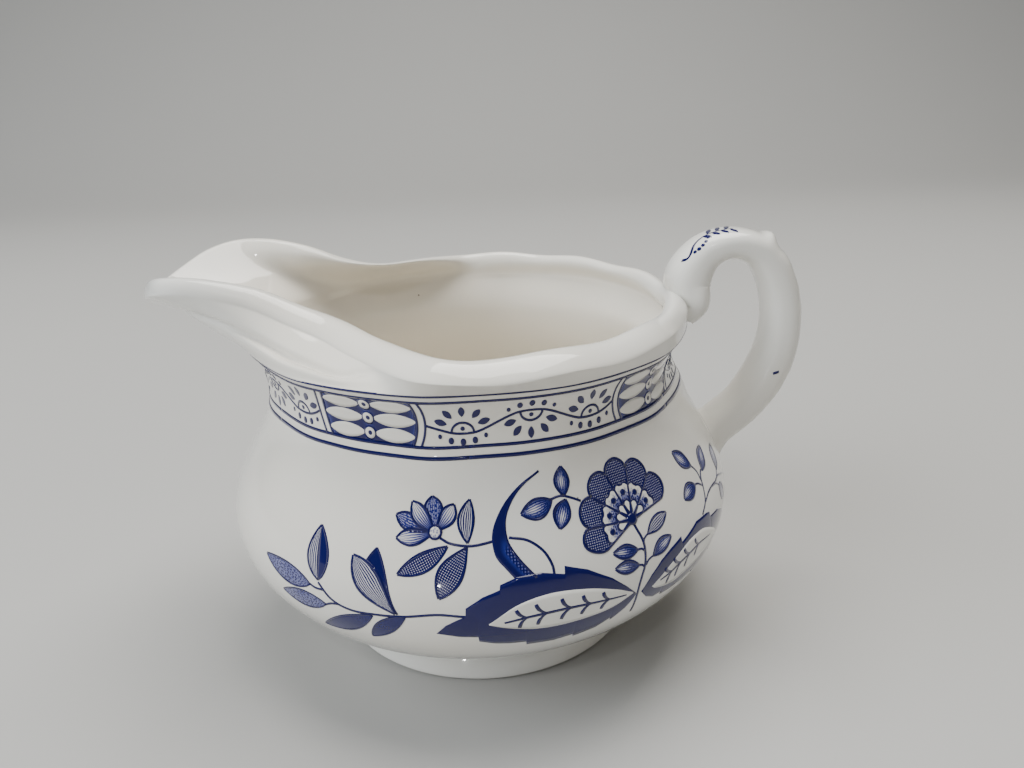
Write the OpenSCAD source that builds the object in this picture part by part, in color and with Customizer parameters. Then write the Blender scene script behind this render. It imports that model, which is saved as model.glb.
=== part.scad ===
// Footed cream jug with a pouring lip, a scrolled strap handle and printed decoration.
// Origin at the centre of the foot's underside, +Z up, lip towards -X, handle towards +X.

/* [Body] */
// Widest radius of the belly
belly_r = 51; // [49:0.5:53]
// Height of the widest part of the belly
belly_z = 29; // [28:0.5:30]
// Radius of the neck at its waist
waist_r = 41; // [40:0.5:42]
// Height of the waist
waist_z = 55; // [54:0.5:56]
// Thickness of the cast wall
wall = 3.6; // [3.2:0.1:4]

/* [Rim and lip] */
// Height of the rim's crest round the back
rim_z = 68.3; // [67:0.1:70]
// Half length of the rim, along the handle's line
rim_rx = 39.8; // [39:0.1:41]
// Half width of the rim, across the jug
rim_ry = 43.7; // [43:0.1:44.5]
// Distance of the lip's tip from the jug's axis
lip_reach = 61.9; // [60:0.1:64]
// Half width of the pouring lip
lip_half = 20.8; // [19:0.1:22]
// Rise of the lip's sides above the rim
lip_rise = 9; // [7:0.1:10]
// Half thickness of the rounded rim
bead_w = 2.6; // [2.2:0.1:3]
// Depth of the rounded rim below its crest
bead_h = 2.5; // [2:0.1:3]

/* [Foot] */
// Outer radius of the foot ring where it stands
foot_r = 31.8; // [31:0.1:33]
// Inner radius of the foot ring
foot_in_r = 26; // [25:0.5:27]
// Height at which the foot ring meets the body
foot_h = 6.4; // [6:0.1:7]

/* [Handle] */
// Width of the handle strap
strap_w = 11; // [10:0.5:12]
// Thickness of the handle strap
strap_t = 6.8; // [6:0.1:7.2]
// Height of the thumb spur above the strap
spur_h = 1.1; // [1:0.1:2.4]

/* [Printed transfers] */
// Thickness of a printed film
film = 0.12; // [0.1:0.01:0.2]
// Angle covered by each spray of flowers
spray_angle = 130; // [110:5:140]

/* [Hidden] */

glaze_colour = "ivory";
slip_colour = "linen";
cobalt_colour = "royalblue";

around = 60;            // stations round the body
step = 360 / around;
belly_steps = 8;        // rings on each belly curve
bead_steps = 7;         // rings over the rounded rim
collar_r = waist_r + 3; // neck radius where the rim's collar starts
collar_z = 63.6;
foot_join_r = 31;
base_z = 4.8;           // underside of the body inside the foot
floor_z = 8.8;          // inside floor of the jug
neck_tuck = 2.4;         // how far the neck is drawn in under the handle
tuck_low = 50;           // height where the drawing in begins
tuck_high = 58;          // height where it is full
lip_bow = 2;             // upward bow of the wall under the lip
bead_in = 3.6;           // half width of the rim on its inner side
bead_tilt = 0.45;        // how much higher the rim stands on its inner side

// ---- curves ----
function bez(p, t) = pow(1 - t, 3) * p[0] + 3 * pow(1 - t, 2) * t * p[1]
    + 3 * (1 - t) * t * t * p[2] + pow(t, 3) * p[3];
function bez_run(p, n, from) = [for (i = [from:n]) bez(p, i / n)];
// smooth curve through the points q, with u counted in points
function through(q, u) = let (i = min(floor(u), len(q) - 4), f = u - i, a = q[i], b = q[i + 1],
    c = q[i + 2], d = q[i + 3]) 0.5 * (2 * b + (c - a) * f + (2 * a - 5 * b + 4 * c - d) * f * f
    + (3 * b - a - 3 * c + d) * f * f * f);
function flip_y(p) = [p[0], -p[1], p[2]];
function ends(q) = concat([2 * q[0] - q[1]], q, [2 * q[len(q) - 1] - q[len(q) - 2]]);

// ---- body of revolution: radius and height up the outside ----
low_curve = [[foot_join_r, foot_h], [40, 11], [belly_r, 18.5], [belly_r, belly_z]];
high_curve = [[belly_r, belly_z], [belly_r, 39], [waist_r, 46], [waist_r, waist_z]];
neck_curve = [[waist_r, waist_z], [waist_r, 59], [waist_r + 1.2, 61.6], [collar_r, collar_z]];
outside = concat([[14, base_z], [27, base_z + 0.2]], bez_run(low_curve, belly_steps, 0),
    bez_run(high_curve, belly_steps, 1), bez_run(neck_curve, 5, 1));
inside = concat(bez_run([[waist_r - wall, waist_z], [waist_r - wall, 46], [belly_r - wall, 39],
    [belly_r - wall, belly_z]], belly_steps, 0), bez_run([[belly_r - wall, belly_z], [belly_r - wall, 20],
    [39, floor_z + 3], [22, floor_z + 0.4]], belly_steps, 1), [[10, floor_z]]);

// ---- crest of the rim: the angle from the lip and its place, one side ----
function lip_row(angle, fx, fy, fz) = [angle, [-lip_reach * fx, -lip_half * fy, rim_z + lip_rise * fz]];
function rim_row(angle) = [angle, [-rim_rx * cos(angle), -rim_ry * sin(angle), rim_z]];
rim_half = concat([lip_row(0, 1, 0, 0.52), lip_row(8, 0.971, 0.4, 0.7), lip_row(16, 0.917, 0.72, 0.94),
    lip_row(24, 0.84, 0.945, 1.06), lip_row(32, 0.734, 0.99, 1.03), lip_row(40, 0.603, 0.99, 0.82),
    lip_row(48, 0.481, 1.087, 0.46), lip_row(57, 0.365, 1.26, 0.22), lip_row(67, 0.25, 1.587, 0.09)],
    [for (a = [83:97 / 6:181]) rim_row(a)]);
rim_angles = [for (r = rim_half) r[0]];
rim_points = [for (r = rim_half) r[1]];
rim_mirrored = concat([flip_y(rim_points[1])], rim_points, [flip_y(rim_points[len(rim_points) - 2])]);
function rim_place(a) = let (k = max([for (i = [0:len(rim_angles) - 2]) if (rim_angles[i] <= a) i]))
    k + (a - rim_angles[k]) / (rim_angles[k + 1] - rim_angles[k]);
function crest(a) = let (w = (a % 360 + 360) % 360) w <= 180 ? through(rim_mirrored, rim_place(w))
    : flip_y(through(rim_mirrored, rim_place(360 - w)));
function outward(a) = let (t = crest(a + 1.5) - crest(a - 1.5), n = norm([t[0], t[1]]))
    [t[1] / n, -t[0] / n, 0];
function lip_share(a) = pow(max(cos(a), 0), 4);
function back_share(a) = pow(max(-cos(a), 0), 4);

// ---- rings of points round the jug, a counted from the lip towards the front ----
function polar(r, z, a) = [-r * cos(a), -r * sin(a), z];
// the neck is drawn in a little under the handle
function tuck(z, a) = neck_tuck * back_share(a) * min(max((z - tuck_low) / (tuck_high - tuck_low), 0), 1);
function bead_wide(a, turn) = turn < 90
    ? bead_w * (1 - 0.5 * lip_share(a) - 0.3 * back_share(a))
    : bead_in * (1 - 0.6 * lip_share(a) - 0.3 * back_share(a));
function bead(a, turn) = let (push = bead_wide(a, turn) * cos(turn),
    h = bead_h * (1 + (turn < 90 ? 0.45 : 0) * lip_share(a)))
    crest(a) + outward(a) * push
        + [0, 0, h * (sin(turn) - 1) - bead_tilt * (1 - lip_share(a)) * push * sin(turn)];
function web(a, f) = let (p = polar(collar_r - tuck(collar_z, a), collar_z, a), q = bead(a, 0))
    p + (q - p) * f + [0, 0, lip_bow * f * (1 - f) * lip_share(a)];
function inner_web(a, f) = let (p = polar(collar_r - wall - tuck(collar_z, a),
    collar_z + 1.4 * lip_share(a), a), q = bead(a, 180))
    q + (p - q) * f - [0, 0, 2 * f * (1 - f) * lip_share(a)];
function round_ring(p) = [for (j = [0:around - 1]) polar(p[0] - tuck(p[1], j * step), p[1], j * step)];

body_rings = concat(
    [for (p = outside) round_ring(p)],
    [for (f = [0.35, 0.7, 1]) [for (j = [0:around - 1]) web(j * step, f)]],
    [for (i = [0:bead_steps]) [for (j = [0:around - 1]) bead(j * step, 180 * i / bead_steps)]],
    [for (f = [0.25, 0.5, 0.75, 1]) [for (j = [0:around - 1]) inner_web(j * step, f)]],
    [for (p = inside) round_ring(p)]);

// closed skin over rings of points, capped by a fan at each end
module capped_skin(rings, first, last) {
    n = len(rings[0]);
    m = len(rings);
    points = concat([for (r = rings) each r], [first, last]);
    walls = [for (i = [0:m - 2]) for (j = [0:n - 1]) let (a = i * n + j, b = i * n + (j + 1) % n)
        each [[a, a + n, b + n], [a, b + n, b]]];
    start = [for (j = [0:n - 1]) [m * n, j, (j + 1) % n]];
    finish = [for (j = [0:n - 1]) [m * n + 1, (m - 1) * n + (j + 1) % n, (m - 1) * n + j]];
    polyhedron(points = points, faces = concat(walls, start, finish), convexity = 6);
}

// closed skin over rings of points that come back to the first ring
module looped_skin(rings) {
    n = len(rings[0]);
    m = len(rings);
    walls = [for (i = [0:m - 1]) for (j = [0:n - 1]) let (k = (i + 1) % m, a = i * n + j,
        b = i * n + (j + 1) % n, c = k * n + (j + 1) % n, d = k * n + j) each [[a, d, c], [a, c, b]]];
    polyhedron(points = [for (r = rings) each r], faces = walls, convexity = 6);
}

// ---- handle: centre line in the XZ plane, one row each of x, z, thickness share and width share ----
handle_rows = ends([[41.4, 63.5, 0.6, 1.2], [43.4, 66.0, 1.03, 1.3], [42.8, 70.2, 1.31, 1.15],
    [45.5, 74.9, 1.08, 0.98], [49.8, 77.0, 0.9, 0.94], [54.6, 76.4, 0.93, 0.92], [58.3, 73.5, 1.03, 0.92],
    [61.0, 67.8, 1.07, 0.95], [62.0, 61.4, 1.1, 0.98], [61.4, 54.9, 1.14, 1.0], [59.0, 48.6, 1.18, 1.0],
    [55.2, 43.1, 1.1, 1.0], [50.8, 39.2, 1.08, 1.04], [47.3, 36.1, 1.0, 1.12]]);
handle_last = len(handle_rows) - 3;
handle_steps = 42;
section_steps = 20;
spur_at = 5.45;          // place of the thumb spur along the rows
function handle_dir(u) = let (e = 0.02, p = through(handle_rows, min(u + e, handle_last)),
    q = through(handle_rows, max(u - e, 0)), d = [p[0] - q[0], p[1] - q[1]]) d / norm(d);
function squarish(v) = sign(v) * pow(abs(v), 0.8);
// point of the strap's section at place u and angle s, grown outwards by g
function strap(u, s, g) = let (c = through(handle_rows, u), d = handle_dir(u),
    spur = spur_h * exp(-pow((u - spur_at) / 0.22, 2)) * max(cos(s), 0),
    t = (strap_t * c[2] / 2 + g) * squarish(cos(s)) + spur, w = (strap_w * c[3] / 2 + g) * squarish(sin(s)))
    [c[0] - d[1] * t, w, c[1] + d[0] * t];
function strap_ring(u, g) = [for (k = [0:section_steps - 1]) strap(u, -360 * k / section_steps, g)];

// luting slip: a flared collar that hugs the strap from u = a to u = b, thickest at a
module luting(a, b, thick) {
    steps = 4;
    outer = [for (i = [0:steps]) strap_ring(a + (b - a) * i / steps, 0.05 + thick * pow(1 - i / steps, 2))];
    inner = [for (i = [steps:-1:0]) strap_ring(a + (b - a) * i / steps, 0)];
    looped_skin(a < b ? concat(outer, inner) : concat(inner, outer));
}

// ---- thin films: a patch between two sheets of points, each a list of rows ----
module film_patch(low, high) {
    m = len(low);
    n = len(low[0]);
    s = m * n;
    sheets = [for (i = [0:m - 2]) for (j = [0:n - 2]) let (a = i * n + j) each
        [[a, a + 1, a + n + 1], [a, a + n + 1, a + n],
         [s + a, s + a + n + 1, s + a + 1], [s + a, s + a + n, s + a + n + 1]]];
    rows = [for (j = [0:n - 2]) each [[j, s + j, s + j + 1], [j, s + j + 1, j + 1],
        [s - n + j, s - n + j + 1, 2 * s - n + j + 1], [s - n + j, 2 * s - n + j + 1, 2 * s - n + j]]];
    sides = [for (i = [0:m - 2]) let (a = i * n, b = i * n + n - 1) each
        [[a, a + n, s + a + n], [a, s + a + n, s + a],
         [b, s + b, s + b + n], [b, s + b + n, b + n]]];
    polyhedron(points = concat([for (r = low) each r], [for (r = high) each r]),
        faces = concat(sheets, rows, sides), convexity = 6);
}
film_gap = 0.02;
function film_sheet(run, first, last, lift) = [for (p = run) [for (j = [first:last])
    polar(p[0] + lift - tuck(p[1], j * step), p[1], j * step)]];
module body_film(run, first, last)
    film_patch(film_sheet(run, first, last, film_gap), film_sheet(run, first, last, film_gap + film));

// ---- the pieces ----
module body() {
    color(glaze_colour) capped_skin(body_rings, [0, 0, base_z], [0, 0, floor_z]);
}

module foot_ring() {
    color(glaze_colour) rotate_extrude($fn = 96) polygon([[foot_in_r + 1, 0], [foot_r - 0.8, 0],
        [foot_r, 0.7], [foot_r - 0.3, 2.2], [foot_r - 1.1, 4.4], [foot_join_r - 1, foot_h - 0.55],
        [foot_in_r + 1.4, base_z], [foot_in_r, base_z - 0.1], [foot_in_r, 1]]);
}

module foot_luting() {
    color(slip_colour) rotate_extrude($fn = 96) polygon([[foot_in_r - 1.2, base_z - 0.1],
        [foot_in_r - 0.02, base_z - 1.2], [foot_in_r - 0.02, base_z - 0.1]]);
}

module handle() {
    places = [for (i = [0:handle_steps]) handle_last * i / handle_steps];
    color(glaze_colour) capped_skin([for (u = places) strap_ring(u, 0)],
        [handle_rows[1][0], 0, handle_rows[1][1]],
        [handle_rows[handle_last + 1][0], 0, handle_rows[handle_last + 1][1]]);
}

module upper_handle_luting() {
    color(slip_colour) luting(0.1, 1.1, 0.6);
}

module lower_handle_luting() {
    color(slip_colour) luting(handle_last - 0.05, handle_last - 1.1, 1.3);
}

border_rings = 7;        // rings of the outside that the border covers, down from the collar
handle_gap = 2;          // stations left free on each side of the handle
module border_transfer() {
    color(cobalt_colour) body_film([for (i = [len(outside) - border_rings:len(outside) - 1]) outside[i]],
        around / 2 + handle_gap, 3 * around / 2 - handle_gap);
}

spray_first = 3;         // rings of the outside that a spray covers
spray_last = 2 * belly_steps - 1;
spray_run = [for (i = [spray_first:spray_last]) outside[i]];
spray_stations = round(spray_angle / 2 / step);
spray_turn = 12;         // how far a spray's middle is turned towards its own right
module spray_transfer(centre) {
    first = round(centre / step) - spray_stations;
    color(cobalt_colour) body_film(spray_run, first, first + 2 * spray_stations);
}
module front_spray_transfer() {
    spray_transfer(90 + spray_turn);
}
module back_spray_transfer() {
    spray_transfer(270 + spray_turn);
}

sprig_from = 2.6;        // where the sprig starts and ends along the handle's rows
sprig_to = 4.8;
module handle_sprig_transfer() {
    turns = [for (k = [-4:4]) k * 10];
    places = [for (i = [0:8]) sprig_from + (sprig_to - sprig_from) * i / 8];
    color(cobalt_colour) film_patch([for (u = places) [for (s = turns) strap(u, s, film_gap)]],
        [for (u = places) [for (s = turns) strap(u, s, film_gap + film)]]);
}

body();
foot_ring();
foot_luting();
handle();
upper_handle_luting();
lower_handle_luting();
border_transfer();
front_spray_transfer();
back_spray_transfer();
handle_sprig_transfer();
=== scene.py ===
import bpy
import numpy as np
from mathutils import Matrix, Vector


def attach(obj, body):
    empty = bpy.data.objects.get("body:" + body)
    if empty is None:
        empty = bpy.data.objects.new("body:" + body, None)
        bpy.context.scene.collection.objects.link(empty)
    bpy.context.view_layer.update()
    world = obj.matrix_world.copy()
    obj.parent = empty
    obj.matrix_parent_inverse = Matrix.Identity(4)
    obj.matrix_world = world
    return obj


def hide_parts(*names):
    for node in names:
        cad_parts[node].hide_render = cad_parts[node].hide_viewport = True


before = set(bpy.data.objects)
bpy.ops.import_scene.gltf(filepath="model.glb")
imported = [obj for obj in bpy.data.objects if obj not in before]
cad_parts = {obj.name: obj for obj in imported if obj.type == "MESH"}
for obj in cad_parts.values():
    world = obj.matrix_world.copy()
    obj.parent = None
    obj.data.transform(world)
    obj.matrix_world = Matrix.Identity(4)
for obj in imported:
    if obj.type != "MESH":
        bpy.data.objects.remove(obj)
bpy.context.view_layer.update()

mm = 0.001
tau = 2 * np.pi


# curves and helpers

# n even steps from 0 to 1, and n even angles round a circle
def steps(n):
    return np.linspace(0, 1, n)


def circle(n):
    return np.linspace(0, tau, n, endpoint=False)


# points from their first and second measures
def xy(x, y):
    return np.stack([x, y], -1)


# cubic curve: the four points weighted by (1-t)^3, 3(1-t)^2 t, 3(1-t)t^2 and t^3
def bezier(points, t):
    p = np.asarray(points, float)
    t = np.asarray(t, float)[..., None]
    return (1 - t) ** 3 * p[0] + 3 * (1 - t) ** 2 * t * p[1] + 3 * (1 - t) * t * t * p[2] + t ** 3 * p[3]


# Catmull-Rom: each span is the cubic whose end slopes are half the step between its neighbours; the row has
# one guard point at each end
def through(guarded, t):
    q = np.asarray(guarded, float)
    t = np.asarray(t, float)
    i = np.clip(np.floor(t).astype(int), 0, len(q) - 4)
    f = (t - i)[..., None]
    a, b, c, d = q[i], q[i + 1], q[i + 2], q[i + 3]
    square, cube = 2 * a - 5 * b + 4 * c - d, 3 * b - a - 3 * c + d
    return 0.5 * (2 * b + (c - a) * f + square * f * f + cube * f ** 3)


# adds the guard points: each end point mirrored in its neighbour, or the loop carried on
def guard(points, closed=False):
    q = np.asarray(points, float)
    if closed:
        return np.vstack([q[-1:], q, q[:2]])
    return np.vstack([2 * q[0] - q[1], q, 2 * q[-1] - q[-2]])


# n points along the smooth curve through the given points
def curve(points, n, closed=False):
    spans = len(points) if closed else len(points) - 1
    return through(guard(points, closed), np.linspace(0, spans, n, endpoint=not closed))


# n points along the straight run through the given points, spaced by length
def straight(points, n):
    q = np.asarray(points, float)
    reach = np.concatenate([[0], np.cumsum(np.linalg.norm(np.diff(q, axis=0), axis=1))])
    t = np.linspace(0, reach[-1], n)
    return np.stack([np.interp(t, reach, q[:, k]) for k in range(q.shape[1])], 1)


# 0 below a, 1 above b, and 3x^2 - 2x^3 between
def ease(x, a, b):
    x = np.clip((x - a) / (b - a), 0, 1)
    return x * x * (3 - 2 * x)


# bell of the given half width: exp(-(x/w)^2)
def bell(x, w):
    return np.exp(-(x / w) ** 2)


# building meshes

# triangles on a grid of rows by columns, which may close round, and each corner's place on the grid
def gridFaces(rows, cols, wrapRows=False, wrapCols=False):
    i, j = np.meshgrid(np.arange(rows - (not wrapRows)), np.arange(cols - (not wrapCols)), indexing="ij")
    i, j = i.ravel(), j.ravel()
    i2, j2 = (i + 1) % rows, (j + 1) % cols
    quad = np.stack([i * cols + j, i * cols + j2, i2 * cols + j2, i2 * cols + j], 1)
    place = np.stack([xy(j, i), xy(j + 1, i), xy(j + 1, i + 1), xy(j, i + 1)], 1).astype(float)
    pick = [0, 1, 2, 0, 2, 3]
    return quad[:, pick].reshape(-1, 3), place[:, pick].reshape(-1, 3, 2)


# closed skin over rings of points (rows x columns x 3), with a pole at each end
def skin(rings, first, last):
    rows, cols = rings.shape[:2]
    verts = np.vstack([rings.reshape(-1, 3), first, last])
    faces, place = gridFaces(rows, cols, wrapCols=True)
    j = np.arange(cols)
    near = (rows - 1) * cols
    start = np.stack([np.full(cols, rows * cols), (j + 1) % cols, j], 1)
    finish = np.stack([np.full(cols, rows * cols + 1), near + j, near + (j + 1) % cols], 1)
    zero, top = np.zeros(cols), np.full(cols, rows - 1.0)
    corners = lambda *pairs: np.stack([xy(*pair) for pair in pairs], 1)
    startUv = corners((j + 0.5, zero - 1), (j + 1, zero), (j, zero))
    finishUv = corners((j + 0.5, top + 1), (j, top), (j + 1, top))
    uv = (np.concatenate([place, startUv, finishUv]) + [0, 1]) / [cols, rows + 1]
    return verts, np.concatenate([faces, start, finish]), uv


# closed skin over rings that come back to the first ring
def loopSkin(rings):
    rows, cols = rings.shape[:2]
    faces, place = gridFaces(rows, cols, True, True)
    return rings.reshape(-1, 3), faces, place / [cols, rows]


# volume inside the skin: a sixth of each triangle's corner product, added up
def volume(verts, faces):
    a, b, c = verts[faces[:, 0]], verts[faces[:, 1]], verts[faces[:, 2]]
    return np.einsum("ij,ij->", a, np.cross(b, c)) / 6


# values as one plain row for a mesh
def packed(values, kind=np.float32):
    return np.ascontiguousarray(values).astype(kind).ravel()


# an object from millimetre points and triangles, turned to face outward
def makePiece(name, verts, faces, uv, material, smooth=True, attributes=()):
    if volume(verts, faces) < 0:
        faces, uv = faces[:, ::-1], uv[:, ::-1]
    mesh = bpy.data.meshes.new(name)
    mesh.vertices.add(len(verts))
    mesh.vertices.foreach_set("co", packed(verts * mm))
    mesh.loops.add(3 * len(faces))
    mesh.loops.foreach_set("vertex_index", packed(faces, np.int32))
    mesh.polygons.add(len(faces))
    mesh.polygons.foreach_set("loop_start", np.arange(0, 3 * len(faces), 3, dtype=np.int32))
    mesh.polygons.foreach_set("use_smooth", np.broadcast_to(smooth, len(faces)).copy())
    mesh.uv_layers.new(name="OFBake").data.foreach_set("uv", packed(uv))
    for label, kind, values in attributes:
        layer = mesh.attributes.new(label, kind, "POINT")
        field = {"FLOAT": "value", "FLOAT_COLOR": "color", "FLOAT2": "vector"}[kind]
        layer.data.foreach_set(field, packed(values))
    mesh.update(calc_edges=True)
    mesh.validate()
    mesh.materials.append(material)
    return addObject(name, mesh)


# object of the given data, put in the scene
def addObject(name, data):
    piece = bpy.data.objects.new(name, data)
    bpy.context.scene.collection.objects.link(piece)
    return piece


# puts a piece on the jug's body in place of a plain CAD node
def settle(piece, node):
    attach(piece, "root")
    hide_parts(node)


# materials

glazeLook = {
    "warm": (0.8, 0.765, 0.685), "cool": (0.77, 0.765, 0.725),  # the glaze's two slow tones
    "inside": (0.8, 0.755, 0.665),  # warmer, slightly darker tone inside the jug: partly the glaze's own warmth, partly painted shade
    "speck": (0.1, 0.07, 0.05), "speckShare": 0.25,  # iron specks in the glaze
    "roughness": 0.16,
    "ripple": 0.00022, "rippleShare": 0.35,  # height of the waviness, m, and its strength
    "coat": 1.38, "under": 0.15,  # the clear coat's index, and shine below it
}
inkLook = {
    "deep": (0.003, 0.004, 0.075), "middle": (0.02, 0.034, 0.26),  # thick and thin cobalt
    "hatch": 0.4, "dots": 0.42,  # spacing of engraved lines and of dots, mm
    "wander": 0.22,  # how far the engraved lines stray, mm
}


# small helper round one material's node tree
class Nodes:
    def __init__(self, name):
        self.material = bpy.data.materials.new(name)
        self.material.use_nodes = True
        self.tree = self.material.node_tree
        self.shader = self.tree.nodes["Principled BSDF"]

    # gives a socket a number, a colour or another node's output
    def feed(self, socket, value):
        if isinstance(value, bpy.types.NodeSocket):
            self.tree.links.new(value, socket)
        else:
            socket.default_value = value + (1,) if isinstance(value, tuple) else value

    def add(self, kind, inputs={}, **settings):
        node = self.tree.nodes.new("ShaderNode" + kind)
        for key, value in settings.items():
            setattr(node, key, value)
        for key, value in inputs.items():
            self.feed(node.inputs[key], value)
        return node

    def math(self, operation, a, b=0.0):
        return self.add("Math", {0: a, 1: b}, operation=operation).outputs[0]

    def mix(self, share, a, b):
        return self.add("Mix", {0: share, 6: a, 7: b}, data_type="RGBA").outputs[2]

    # value eased from low..high to outLow..outHigh
    def ramp(self, value, low, high, outLow=0.0, outHigh=1.0):
        inputs = dict(enumerate((value, low, high, outLow, outHigh)))
        return self.add("MapRange", inputs, interpolation_type="SMOOTHSTEP").outputs[0]

    def noise(self, coords, scale, detail=2.0):
        return self.add("TexNoise", {"Vector": coords, "Scale": scale, "Detail": detail}).outputs["Fac"]


# glaze colour: two slow tones mixed by noise, the warmer inside tone (partly painted shade) where the
# attribute says so, and rare specks
def glazeColour(n):
    coords = n.add("TexCoord").outputs["Object"]
    slow = n.ramp(n.noise(coords, 16.0), 0.3, 0.7)
    colour = n.mix(slow, glazeLook["warm"], glazeLook["cool"])
    # mask of the warmer inside tone, which is partly painted shade
    insideTintAndShade = n.add("Attribute", attribute_name="insideTintAndShade").outputs["Fac"]
    colour = n.mix(insideTintAndShade, colour, glazeLook["inside"])
    cells = n.add("TexVoronoi", {"Vector": coords, "Scale": 120.0})
    near = n.ramp(cells.outputs["Distance"], 0.018, 0.034, 1.0, 0.0)
    separate = n.add("SeparateColor", {0: cells.outputs["Color"]})
    chosen = n.math("LESS_THAN", separate.outputs[0], glazeLook["speckShare"])
    colour = n.mix(n.math("MULTIPLY", n.math("MULTIPLY", near, chosen), 0.8), colour, glazeLook["speck"])
    return coords, colour


# surface of the glaze: a gentle waviness and fine orange peel under a clear coat
def glazeSurface(n, coords):
    height = n.math("ADD", n.noise(coords, 70.0, 1.0), n.math("MULTIPLY", n.noise(coords, 900.0, 1.0), 0.04))
    bump = n.add("Bump", {"Strength": glazeLook["rippleShare"], "Distance": glazeLook["ripple"],
                          "Height": height})
    rough = glazeLook["roughness"]
    uneven = n.ramp(n.noise(coords, 40.0), 0.2, 0.8, rough - 0.03, rough + 0.05)
    inputs = {"Normal": bump.outputs[0], "Roughness": uneven, "IOR": 1.5,
              "Specular IOR Level": glazeLook["under"],
              "Coat Weight": 1.0, "Coat IOR": glazeLook["coat"], "Coat Roughness": 0.035}
    for key, value in inputs.items():
        n.feed(n.shader.inputs[key], value)


def makeGlaze(name):
    n = Nodes(name)
    coords, colour = glazeColour(n)
    n.feed(n.shader.inputs["Base Color"], colour)
    glazeSurface(n, coords)
    return n.material


# print colour: the glaze, inked by the greatest of a plain tone, two sets of lines and stippled dots; their
# shares come from the piece's ink attribute, and its hatch map is in millimetres
def makeInk(name):
    n = Nodes(name)
    coords, glaze = glazeColour(n)
    ink = n.add("Attribute", attribute_name="ink")
    shares = n.add("SeparateColor", {0: ink.outputs["Color"]})
    place = n.add("Attribute", attribute_name="hatch").outputs["Vector"]
    split = n.add("SeparateXYZ", {0: place})
    wobble = n.math("MULTIPLY", n.math("SUBTRACT", n.noise(place, 0.9), 0.5), inkLook["wander"])
    lines = []
    for axis in (0, 1):
        turn = n.math("MULTIPLY", n.math("ADD", split.outputs[axis], wobble), tau / inkLook["hatch"])
        lines.append(n.ramp(n.math("SINE", turn), -0.68, 0.3))
    cells = n.add("TexVoronoi", {"Vector": place, "Scale": 1 / inkLook["dots"]}, voronoi_dimensions="2D")
    dots = n.ramp(cells.outputs["Distance"], 0.28, 0.5, 1.0, 0.0)
    amount = shares.outputs[0]
    patterns = ((shares.outputs[1], lines[0]), (shares.outputs[2], lines[1]), (ink.outputs["Alpha"], dots))
    for share, pattern in patterns:
        amount = n.math("MAXIMUM", amount, n.math("MULTIPLY", share, pattern))
    amount = n.math("MULTIPLY", amount, n.ramp(n.noise(coords, 260.0, 3.0), 0.3, 0.75, 0.9, 1.0))
    cobalt = n.mix(n.ramp(amount, 0.35, 0.95), inkLook["middle"], inkLook["deep"])
    n.feed(n.shader.inputs["Base Color"], n.mix(n.ramp(amount, 0.0, 0.62), glaze, cobalt))
    glazeSurface(n, coords)
    return n.material


glaze = makeGlaze("glaze")
slip = makeGlaze("slip")
printInk = makeInk("print")
print("materials made")


# body

jug = {
    "around": 300,  # columns round the jug
    "wall": 3.6,  # thickness of the cast wall
    "panels": 12, "panelDepth": 0.35,  # soft upright panels: number and depth
    "panelTurn": 111, "panelSharp": 1.4,  # angle of one ridge, and how narrow ridges are
    "panelHeights": (32, 55), "tuckHeights": (50, 58),  # where the panels and the tuck begin and are full
    "rimWave": 0.3,  # rise and fall of the rim
    "lipReach": 61.9, "lipHalf": 20.8, "lipRise": 9.0,
    "rimHeight": 68.3, "rimLong": 39.8, "rimWide": 43.7,
    "tuck": 2.4,  # how far the neck is drawn in under the handle
    "beadWide": 2.6, "beadInside": 3.6, "beadTall": 2.5,  # rim: half width outside and inside, and depth
    "lipThin": (0.5, 0.6), "backThin": 0.3,  # shares lost at the lip (outside, inside), and the handle
    "lipDeep": 0.45,  # share the rim's outer side gains in depth at the lip
    "beadTilt": 0.45,  # how much higher the rim stands on its inner side
    "lipBow": 2.0,  # upward bow of the wall under the lip
    "foldFace": 6.4, "foldBulge": 1.1, "foldGroove": 1.0,  # the fold under the lip
}
collar = np.array([44.0, 63.6])
lowCurve = [(31, 6.4), (40, 11), (51, 18.5), (51, 29)]
highCurve = [(51, 29), (51, 39), (41, 46), (41, 55)]
neckCurve = [(41, 55), (41, 59), (42.2, 61.6), tuple(collar)]
innerNeck = [(40.4, 63.6), (39.5, 61.2), (37.4, 58.6), (37.4, 55)]
innerHigh = [(37.4, 55), (37.4, 46), (47.4, 39), (47.4, 29)]
innerLow = [(47.4, 29), (47.4, 20), (39, 11.8), (22, 9.2)]

# rim's crest on one side: angle from the lip, and shares of the lip's reach, half width and rise
lipRows = [(0, 1, 0, 0.52), (8, 0.971, 0.4, 0.7), (16, 0.917, 0.72, 0.94), (24, 0.84, 0.945, 1.06),
           (32, 0.734, 0.99, 1.03), (40, 0.603, 0.99, 0.82), (48, 0.481, 1.087, 0.46),
           (57, 0.365, 1.26, 0.22),
           (67, 0.25, 1.587, 0.09)]
lipTable = np.array(lipRows, float)
rimAngles = np.concatenate([lipTable[:, 0], 83 + np.arange(7) * 97 / 6])
lipPoints = np.stack([-jug["lipReach"] * lipTable[:, 1], -jug["lipHalf"] * lipTable[:, 2],
                      jug["rimHeight"] + jug["lipRise"] * lipTable[:, 3]], 1)
backTurn = np.radians(rimAngles[9:])
backPoints = np.stack([-jug["rimLong"] * np.cos(backTurn), -jug["rimWide"] * np.sin(backTurn),
                       np.full(7, jug["rimHeight"])], 1)
rimPoints = np.vstack([lipPoints, backPoints])
flip = np.array([1, -1, 1])
rimGuarded = np.vstack([rimPoints[1] * flip, rimPoints, rimPoints[-2] * flip])


# share of a soft upright ridge: 1 on the ridge, 0 in the middle of a panel
def ridge(a):
    half = jug["panels"] / 2
    return 1 - np.abs(np.sin(half * (a - np.radians(jug["panelTurn"])))) ** jug["panelSharp"]


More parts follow.
